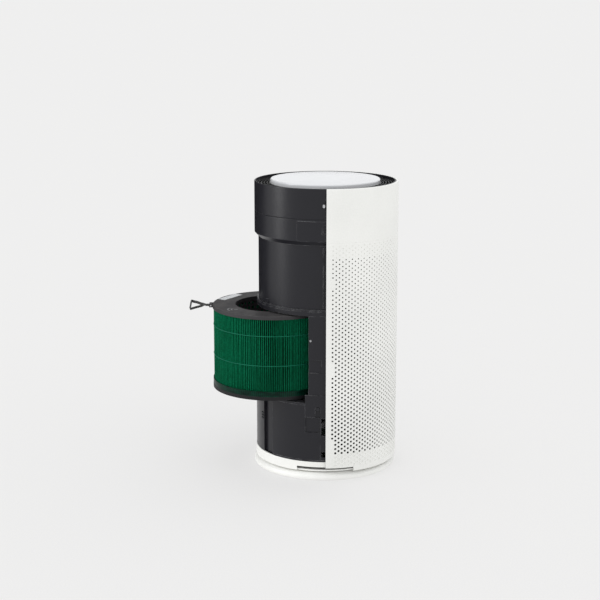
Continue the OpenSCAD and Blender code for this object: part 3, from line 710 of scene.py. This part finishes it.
def cell_frame(half_turn, half_height, sides):
    """Corner offsets of a cell and of its hole, as ((bearing, height) share, angle)."""
    rim = [((x, z), math.degrees(math.atan2(z * half_height, x * half_turn)) % 360)
           for x, z in ((1, 0), (1, 1), (0, 1), (-1, 1), (-1, 0), (-1, -1), (0, -1), (1, -1))]
    hole = [(("hole", i), 360 * i / sides) for i in range(sides)]
    return zip_rings(sorted(rim, key=lambda p: p[1]), hole)


def add_cell(wall, bearing, height, half_turn, half_height, hole, out_r, in_r, sides, pattern,
             dimple=0.0):
    """One cell: a frame outside and inside, and the hole's wall. A dimple has a floor instead."""
    def spot(key, radius, scale=1.0):
        if key[0] == "hole":
            a = math.radians(360 * key[1] / sides)
            turn = math.degrees(hole * scale * math.cos(a) / out_r)
            return (bearing + turn, radius, height + hole * scale * math.sin(a))
        return (bearing + key[0] * half_turn, radius, height + key[1] * half_height)

    for triangle in pattern:
        wall.face([spot(key, out_r) for key in triangle])
        if not dimple:
            wall.face([spot(key, in_r) for key in triangle], flip=True)
    floor_r = out_r - dimple if dimple else in_r
    for i in range(sides):
        a, b = ("hole", i), ("hole", (i + 1) % sides)
        wall.face([spot(a, out_r), spot(b, out_r), spot(b, floor_r), spot(a, floor_r)])
    if dimple:
        wall.face([spot(("hole", i), floor_r) for i in range(sides)])
        add_blank(wall, bearing, height, half_turn, half_height, in_r, flip=True)


def add_blank(wall, bearing, height, half_turn, half_height, radius, flip=False, mids=True):
    """A plain cell, in two flat halves that keep the neighbours' points."""
    low, high = height - half_height, height + half_height
    for side in (-1, 1):
        edge = bearing + side * half_turn
        middle = [(edge, radius, height)] if mids else []
        ring = [(bearing, radius, low), (edge, radius, low), *middle, (edge, radius, high),
                (bearing, radius, high)]
        wall.face(ring, flip=flip if side > 0 else not flip)


print("wall tools ready")

# %% [markdown]
# The cover's wall follows one cross-section all the way round: a rounded foot, a thin parting line
# under the plain band, and a rim that steps inwards. Where it passes the finger notch the foot is
# cut higher. The holes' cells fill the middle of both faces of the wall.

# %% Perforated front cover
FEW_SIDES, MANY_SIDES, SMALL_ROWS = 8, 10, 14
low_corner, high_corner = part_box("front_cover")
out_r = -low_corner.y
rim_z, foot_z = high_corner.z, low_corner.z
NOTCH_RISE, WALL_T, DIMPLE_DEPTH = 0.0086, 0.0028, 0.0008
notch_z = foot_z + NOTCH_RISE
in_r = out_r - WALL_T
COLUMN_STEP, FIRST_COLUMN, COLUMNS = 2.5, 5.0, 69
ROW_STEP, ROWS, DIMPLE_ROWS, TOP_ROW = 0.0085, 51, 3, 0.45975
NOTCH_END, PARTING_Z = 22.5, 0.4654
# height and reach of the places at the seam where hooks and latches leave no room for holes
HOOKED = ((0.0, 0.081), (0.387, 0.009), (0.225, 0.013))
lattice_top = TOP_ROW + ROW_STEP / 2
lattice_low = TOP_ROW - ROW_STEP * (ROWS - 1) - ROW_STEP
half_turn, half_height = COLUMN_STEP / 2, ROW_STEP / 2


def hole_radius(height):
    share = (lattice_top - height) / (lattice_top - lattice_low)
    return 0.0013 + 0.00115 * share


def cover_wall():
    wall = WallMesh()
    patterns = {sides: cell_frame(math.radians(half_turn) * out_r, half_height, sides)
                for sides in (FEW_SIDES, MANY_SIDES)}
    for column in range(COLUMNS):
        bearing = FIRST_COLUMN + column * COLUMN_STEP
        odd = column % 2
        end_column = column in (0, COLUMNS - 1)
        for row in range(ROWS):
            height = TOP_ROW - row * ROW_STEP - odd * half_height
            blind = row < DIMPLE_ROWS or row >= ROWS - DIMPLE_ROWS
            if end_column and any(abs(height - z) < reach for z, reach in HOOKED):
                add_blank(wall, bearing, height, half_turn, half_height, out_r)
                add_blank(wall, bearing, height, half_turn, half_height, in_r, flip=True)
            else:
                sides = FEW_SIDES if blind or row < SMALL_ROWS else MANY_SIDES
                add_cell(wall, bearing, height, half_turn, half_height, hole_radius(height), out_r,
                         in_r, sides, patterns[sides], DIMPLE_DEPTH if blind else 0.0)
        # the half cell that evens out the stagger
        height = lattice_top - half_height / 2 if odd else lattice_low + half_height / 2
        for radius, flip in ((out_r, False), (in_r, True)):
            add_blank(wall, bearing, height, half_turn, half_height / 2, radius, flip, mids=False)
    return wall


def cover_section(notched):
    """Points (radius, height) above and below the cells, outside first, then inside."""
    corner = 0.002
    bottom = notch_z if notched else foot_z
    arc = [math.radians(a) for a in (0, 22.5, 45, 67.5, 90)]
    above = [(out_r, lattice_top), (out_r, PARTING_Z - 0.00035), (out_r - 0.0003, PARTING_Z),
             (out_r, PARTING_Z + 0.00035), (out_r, 0.5)]
    above += [(out_r - corner + corner * math.cos(a), rim_z - corner + corner * math.sin(a))
              for a in arc]
    above += [(out_r - 0.0042, rim_z), (out_r - 0.0045, rim_z - 0.0004),
              (out_r - 0.0045, rim_z - 0.003), (in_r, rim_z - 0.0052), (in_r, 0.5),
              (in_r, lattice_top)]
    outside = lattice_low - bottom if notched else corner
    inside = lattice_low - bottom if notched else 0.0006
    below = [(out_r, lattice_low)]
    below += [(out_r - outside + outside * math.cos(a), bottom + outside - outside * math.sin(a))
              for a in arc]
    below += [(in_r + inside, bottom), (in_r, bottom + inside), (in_r, lattice_low)]
    return above, below


def close_wall(wall):
    """Sweeps the plain band, the foot and the end strips, and closes both ends of the wall."""
    first, last = FIRST_COLUMN - half_turn, 180 - FIRST_COLUMN + half_turn
    lines = [0.0, 1.9] + [first + half_turn * i for i in range(2 * COLUMNS + 1)] + [178.1, 180.0]
    levels = [lattice_top - half_height * i
              for i in range(round((lattice_top - lattice_low) / half_height) + 1)]
    for a, b in zip(lines, lines[1:]):
        notched = b <= NOTCH_END + 1e-6 or a >= 180 - NOTCH_END - 1e-6
        for strip in cover_section(notched):
            for (r0, z0), (r1, z1) in zip(strip, strip[1:]):
                wall.face([(a, r0, z0), (b, r0, z0), (b, r1, z1), (a, r1, z1)],
                          flip=strip[0][1] < 0.1)
        if b <= first + 1e-6 or a >= last - 1e-6:
            for z0, z1 in zip(levels, levels[1:]):
                for r, flip in ((out_r, False), (in_r, True)):
                    wall.face([(a, r, z1), (b, r, z1), (b, r, z0), (a, r, z0)], flip)
    # the two upright ends
    above, below = cover_section(True)
    outline = above + [(in_r, z) for z in levels[1:-1]] + below[::-1] \
        + [(out_r, z) for z in levels[::-1][1:-1]]
    for bearing in (0.0, 180.0):
        wall.face([(bearing, r, z) for r, z in outline])
    # the step at each end of the finger notch
    full = cover_section(False)[1]
    for bearing in (NOTCH_END, 180 - NOTCH_END):
        wall.face([(bearing, r, z) for r, z in full + below[::-1][1:-1]])


def finish_piece(piece, slot, body, *stands_for, look=None):
    piece.data.materials.clear()
    piece.data.materials.append(finish[look or slot])
    smooth_part(piece)
    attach(piece, body)
    if stands_for:
        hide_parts(*stands_for)
    return piece


wall = cover_wall()
close_wall(wall)
cover = wall.build("cover_perforated")
finish_piece(cover, "white_casing", "front_cover", "front_cover")
print("cover faces:", len(cover.data.polygons), "points:", len(cover.data.vertices))

# %% [markdown]
# Inside the cover, two things meet the frame. A pair of L-shaped hooks slides behind the columns
# and holds the cover on, and a near-black sheet lies just inside the holes. It is painted shade: it
# stands for the unlit inside of the drum and makes the holes look almost black from outside. Both
# are swept round the drum as outlines.

# %% Cover hooks and painted shade sheet
def raise_outline(wall, outline, low, high):
    """Closes an outline of (bearing, radius) points between two heights."""
    for i, a in enumerate(outline):
        b = outline[(i + 1) % len(outline)]
        wall.face([(*a, low), (*b, low), (*b, high), (*a, high)])
    wall.face([(*point, low) for point in outline])
    wall.face([(*point, high) for point in outline])


def hook_outline(root, finger, tip, behind, inner):
    steps = [root + (tip - root) * i / 6 for i in range(7)]
    return ([(finger, in_r + 0.0002), (root, in_r + 0.0002)] + [(b, behind) for b in steps]
            + [(b, inner) for b in steps[::-1]] + [(finger, inner)])


hooks = WallMesh()
outline = hook_outline(5.8, 4.4, 13.1, 0.1344, 0.1322)
for side in (outline, [(180 - b, r) for b, r in outline]):
    raise_outline(hooks, side, 0.21405, 0.23755)
cover_hooks = hooks.build("cover_hooks")
finish_piece(cover_hooks, "white_casing", "front_cover", "front_cover")

# a near-black sheet just inside the holes: painted shade for the dark drum behind them
shade_sheet = WallMesh()
bearings = [7.5 + 1.5 * i for i in range(111)]
shade_low, shade_high = lattice_low + 0.002, lattice_top - 0.002
raise_outline(shade_sheet, [(b, in_r - 0.0001) for b in bearings]
              + [(b, in_r - 0.0007) for b in bearings[::-1]], shade_low, shade_high)
cover_shade_sheet = shade_sheet.build("cover_shade_sheet")
finish_piece(cover_shade_sheet, "grille_plastic", "front_cover", "front_cover", look="painted_shade_net")
print("hooks:", len(cover_hooks.data.polygons), "net faces:", len(cover_shade_sheet.data.polygons))

# %% [markdown]
# The filter is one long sheet folded into 190 pleats and bent into a ring. A drum with a striped
# bump would lose the deep shadow between the folds, so the sheet is drawn fold by fold: a rounded
# tip outside, a tight fold inside, half a millimetre of paper between its two faces. Hand-packed
# pleats are never quite even, so each one leans and stands out a little differently.

# %% Filter pleats
def pleated_ring(name, centre, tip_r, fold_r, low, high, paper=0.0005, levels=13):
    dice = random.Random(7)
    step = 2 * math.pi / PLEATS
    habit = [(dice.uniform(-0.13, 0.13) * step, dice.uniform(-0.0005, 0.0), dice.uniform(0, 6.28),
              dice.uniform(0.02, 0.07) * step) for _ in range(PLEATS)]
    points, faces = [], []

    def path(height, tip, tip_half, fold, fold_half):
        share = (height - low) / (high - low)
        for i, (lean, dent, phase, sway) in enumerate(habit):
            free = math.sin(math.pi * share) ** 0.5
            a = i * step + (lean + sway * math.sin(phase + 5 * share)) * free
            b = (i + 0.5) * step
            for angle, radius in ((a - tip_half / tip, tip + dent), (a, tip + dent + 0.00015),
                                  (a + tip_half / tip, tip + dent), (b - fold_half / fold, fold),
                                  (b + fold_half / fold, fold)):
                points.append((radius * math.sin(angle), centre + radius * math.cos(angle), height))

    ring = PLEATS * 5
    for k in range(levels):
        height = low + (high - low) * k / (levels - 1)
        path(height, tip_r - 0.00015, 0.00062, fold_r + paper, 0.0002)
        path(height, tip_r - paper, 0.0002, fold_r, 0.0006)
    for k in range(levels - 1):
        for side in (0, 1):
            start, above = (2 * k + side) * ring, (2 * k + 2 + side) * ring
            for i in range(ring):
                j = (i + 1) % ring
                quad = (start + i, start + j, above + j, above + i)
                faces.append(quad if side else quad[::-1])
    for level, flip in ((0, False), (2 * levels - 2, True)):
        outer, inner = level * ring, (level + 1) * ring
        for i in range(ring):
            j = (i + 1) % ring
            quad = (outer + i, outer + j, inner + j, inner + i)
            faces.append(quad[::-1] if flip else quad)
    mesh = bpy.data.meshes.new(name)
    mesh.from_pydata(points, [], faces)
    return add_object(name, mesh)


media_r = (media_high.x - media_low.x) / 2
core_low, core_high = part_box("filter_core")
core_r = (core_high.x - core_low.x) / 2
pleats = pleated_ring("filter_pleats", filter_y, media_r - 0.0002, core_r + 0.002, media_low.z,
                      media_high.z)
finish_piece(pleats, "filter_pleats", "filter", "filter_media")
print("pleats:", PLEATS, "faces:", len(pleats.data.polygons))

# %% [markdown]
# Two thin beads of glue run round the pleats and keep them apart. A bead sinks between two tips
# and swells over each, so its radius follows the pleats. Inside the ring, the sheet rests on a tube
# of perforated plastic, which is laid out with the same honeycomb cells as the cover.

# %% Glue beads and the perforated core
def shift_back(piece, distance):
    for vertex in piece.data.vertices:
        vertex.co.y += distance
    return piece


def add_bead(wall, height, thick=0.0011, tall=0.0017):
    turns = [360 * i / (PLEATS * 4) for i in range(PLEATS * 4)]
    ring = [(0, 0.5), (0.5, 0.35), (0.5, -0.35), (0, -0.5), (-0.5, -0.35), (-0.5, 0.35)]

    def at(bearing, spot):
        swell = 0.0003 * math.cos(math.radians((bearing + 90) * PLEATS))
        radius = round(media_r - 0.0004 + swell + spot[0] * thick, 7)
        return (bearing, radius, height + spot[1] * tall)

    for a, b in zip(turns, turns[1:] + [360.0]):
        for p, q in zip(ring, ring[1:] + ring[:1]):
            wall.face([at(a, p), at(b, p), at(b, q), at(a, q)])


beads = WallMesh()
for share in (0.40, 0.785):
    add_bead(beads, media_low.z + (media_high.z - media_low.z) * share)
pleat_bands = shift_back(beads.build("pleat_bands"), filter_y)
finish_piece(pleat_bands, "filter_glue", "filter", "filter_media", look="glue_bead")

CORE_COLUMNS, CORE_ROWS, CORE_SIDES, CORE_T, CORE_HOLE = 48, 15, 8, 0.0012, 0.0031
core = WallMesh()
core_turn = 180 / CORE_COLUMNS
core_half = (core_high.z - core_low.z) / CORE_ROWS / 2
core_pattern = cell_frame(math.radians(core_turn) * core_r, core_half, CORE_SIDES)
for column in range(CORE_COLUMNS):
    for row in range(CORE_ROWS):
        add_cell(core, (2 * column + 1) * core_turn, core_low.z + (2 * row + 1) * core_half,
                 core_turn, core_half, CORE_HOLE, core_r, core_r - CORE_T, CORE_SIDES, core_pattern)
for i in range(2 * CORE_COLUMNS):
    a, b = i * core_turn, (i + 1) * core_turn
    for height in (core_low.z, core_high.z):
        core.face([(a, core_r, height), (b, core_r, height), (b, core_r - CORE_T, height),
                   (a, core_r - CORE_T, height)])
core_sheet = shift_back(core.build("core_sheet"), filter_y)
finish_piece(core_sheet, slot_of["filter_core"], "filter", "filter_core")
print("bead faces:", len(pleat_bands.data.polygons), "core faces:", len(core_sheet.data.polygons))

# %% [markdown]
# The strap that draws the filter out is a short loop of woven tape, sewn to itself and hung on a
# steel pin between two lugs. Flat webbing is best modelled directly: a thin, round-edged section
# runs round a soft triangle, and a second length wraps the pin. It has been tugged, so the far side
# of the loop stands a little higher than the near one. Two rows of thread close the seam.

# %% Pull strap
strap_low, strap_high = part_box("pull_strap")
pin_y, pin_z = strap_low.y + 0.003, (strap_low.z + strap_high.z) / 2
LOOP_WIDTH, LOOP_T, END_WIDTH, END_T = 0.0054, 0.0013, 0.0064, 0.0009
PIN_WRAP, LUG_HALF = 0.0022, 0.0046


def tape_section(width, thick):
    """Corner-rounded section as (across, up) points."""
    half, edge = width / 2, thick / 2
    return [(-half, 0.0), (-half + edge * 0.6, edge), (-half * 0.4, edge), (half * 0.4, edge),
            (half - edge * 0.6, edge), (half, 0.0), (half - edge * 0.6, -edge),
            (half * 0.4, -edge), (-half * 0.4, -edge), (-half + edge * 0.6, -edge)]


def sweep_tape(name, centres, widths, thick, closed):
    """Sweeps the section along (place, across, up) frames. U runs along the tape in metres."""
    mesh = bpy.data.meshes.new(name)
    points, faces, uvs, travel = [], [], [], [0.0]
    for (a, _, _), (b, _, _) in zip(centres, centres[1:] + centres[:1]):
        travel.append(travel[-1] + (b - a).length)
    for (place, across, up), width in zip(centres, widths):
        points += [place + across * x + up * z for x, z in tape_section(width, thick)]
    sides, count = 10, len(centres)
    for k in range(count if closed else count - 1):
        for i in range(sides):
            j, n = (i + 1) % sides, (k + 1) % count
            faces.append((k * sides + i, k * sides + j, n * sides + j, n * sides + i))
            section = tape_section(widths[k], thick)
            v0, v1 = section[i][0], section[j][0]
            uvs += [(travel[k], v0), (travel[k], v1), (travel[k + 1], v1), (travel[k + 1], v0)]
    if not closed:
        for k in (0, count - 1):
            faces.append([k * sides + i for i in range(sides)])
            uvs += [(travel[k], x) for x, _ in tape_section(widths[k], thick)]
    mesh.from_pydata([tuple(p) for p in points], [], faces)
    layer = mesh.uv_layers.new(name="along")
    for loop, uv in zip(layer.data, uvs):
        loop.uv = uv
    turn_outward(mesh)
    return add_object(name, mesh)


def round_corners(corners, radius, steps=9):
    """A closed path of points round a triangle, with arcs of the given radius at its corners."""
    path = []
    for i, corner in enumerate(corners):
        before, after = corners[i - 1], corners[(i + 1) % len(corners)]
        to_before, to_after = (before - corner).normalized(), (after - corner).normalized()
        half = to_before.angle(to_after) / 2
        start = corner + to_before * radius / math.tan(half)
        end = corner + to_after * radius / math.tan(half)
        middle = corner + (to_before + to_after).normalized() * radius / math.sin(half)
        for k in range(steps):
            share = k / (steps - 1)
            spoke = (start - middle).lerp(end - middle, share).normalized() * radius
            path.append(middle + spoke)
        for k in range(1, 8):
            path.append(end.lerp(after + (corner - after).normalized() * radius
                                 / math.tan((before - after).angle(corner - after) / 2), k / 8))
    return path


def strap_loop():
    reach, half = strap_high.y - 0.003, (strap_high.x - strap_low.x) / 2 - 0.0035
    flat = round_corners([Vector((0, pin_y + 0.0075, pin_z)), Vector((half, reach, pin_z)),
                          Vector((-half, reach, pin_z))], 0.0016)
    raised = []
    for point in flat:
        far = (point.y - pin_y) / (reach - pin_y)
        lift = 0.16 * point.x * far + 0.0006 * math.sin(point.x * 260 + point.y * 190) * far
        raised.append(point + Vector((0, 0, lift)))
    frames = []
    for i, point in enumerate(raised):
        along = (raised[(i + 1) % len(raised)] - raised[i - 1]).normalized()
        across = along.cross(Vector((0, 0, 1))).normalized()
        up = across.cross(along).normalized()
        # beyond the seam the tape turns on edge, as it does when someone pulls it
        share = min(max((point.y - pin_y - 0.009) / 0.010, 0.0), 1.0)
        turn = math.radians(72) * share * share * (3 - 2 * share)
        frames.append((point, across * math.cos(turn) + up * math.sin(turn),
                       up * math.cos(turn) - across * math.sin(turn)))
    return sweep_tape("strap_loop", frames, [LOOP_WIDTH] * len(frames), LOOP_T, closed=True)


def strap_seam():
    """The tape's end: out along the bottom, round the pin, back along the top."""
    spots = [(pin_y + 0.0105 - 0.0012 * i, pin_z - 0.00125) for i in range(6)]
    spots += [(pin_y + PIN_WRAP * math.cos(a), pin_z + PIN_WRAP * math.sin(a))
              for a in [math.radians(-60 - 15 * i) for i in range(17)]]
    spots += [(y, 2 * pin_z - z) for y, z in spots[:6][::-1]]
    frames, widths = [], []
    for i, (y, z) in enumerate(spots):
        before, after = spots[max(i - 1, 0)], spots[min(i + 1, len(spots) - 1)]
        along = Vector((0, after[0] - before[0], after[1] - before[1])).normalized()
        across = Vector((1, 0, 0))
        frames.append((Vector((0, y, z)), across, across.cross(along).normalized()))
        near = min(max((pin_y + 0.0065 - y) / 0.003, 0.0), 1.0)
        widths.append(END_WIDTH + (2 * LUG_HALF - END_WIDTH) * near ** 2 * (3 - 2 * near))
    return sweep_tape("strap_seam", frames, widths, END_T, closed=False)


def seam_stitches():
    mesh = bmesh.new()
    for x in (-0.0019, 0.0019):
        for k in range(4):
            made = bmesh.ops.create_uvsphere(mesh, u_segments=8, v_segments=6, radius=0.00028)
            for vertex in made["verts"]:
                vertex.co.y = vertex.co.y * 2.1 + pin_y + 0.0052 + 0.0014 * k
                vertex.co.x += x
                vertex.co.z += pin_z + 0.0018
    data = bpy.data.meshes.new("strap_stitches")
    mesh.to_mesh(data)
    mesh.free()
    return add_object("strap_stitches", data)


for strap_piece in (strap_loop(), strap_seam(), seam_stitches()):
    finish_piece(strap_piece, "strap_fabric", "pull_strap", "pull_strap")
    print(strap_piece.name, "faces:", len(strap_piece.data.polygons))

# %% [markdown]
# The box of the finished model has to stay inside the engineering model's box.

# %% Finish
print("finished")
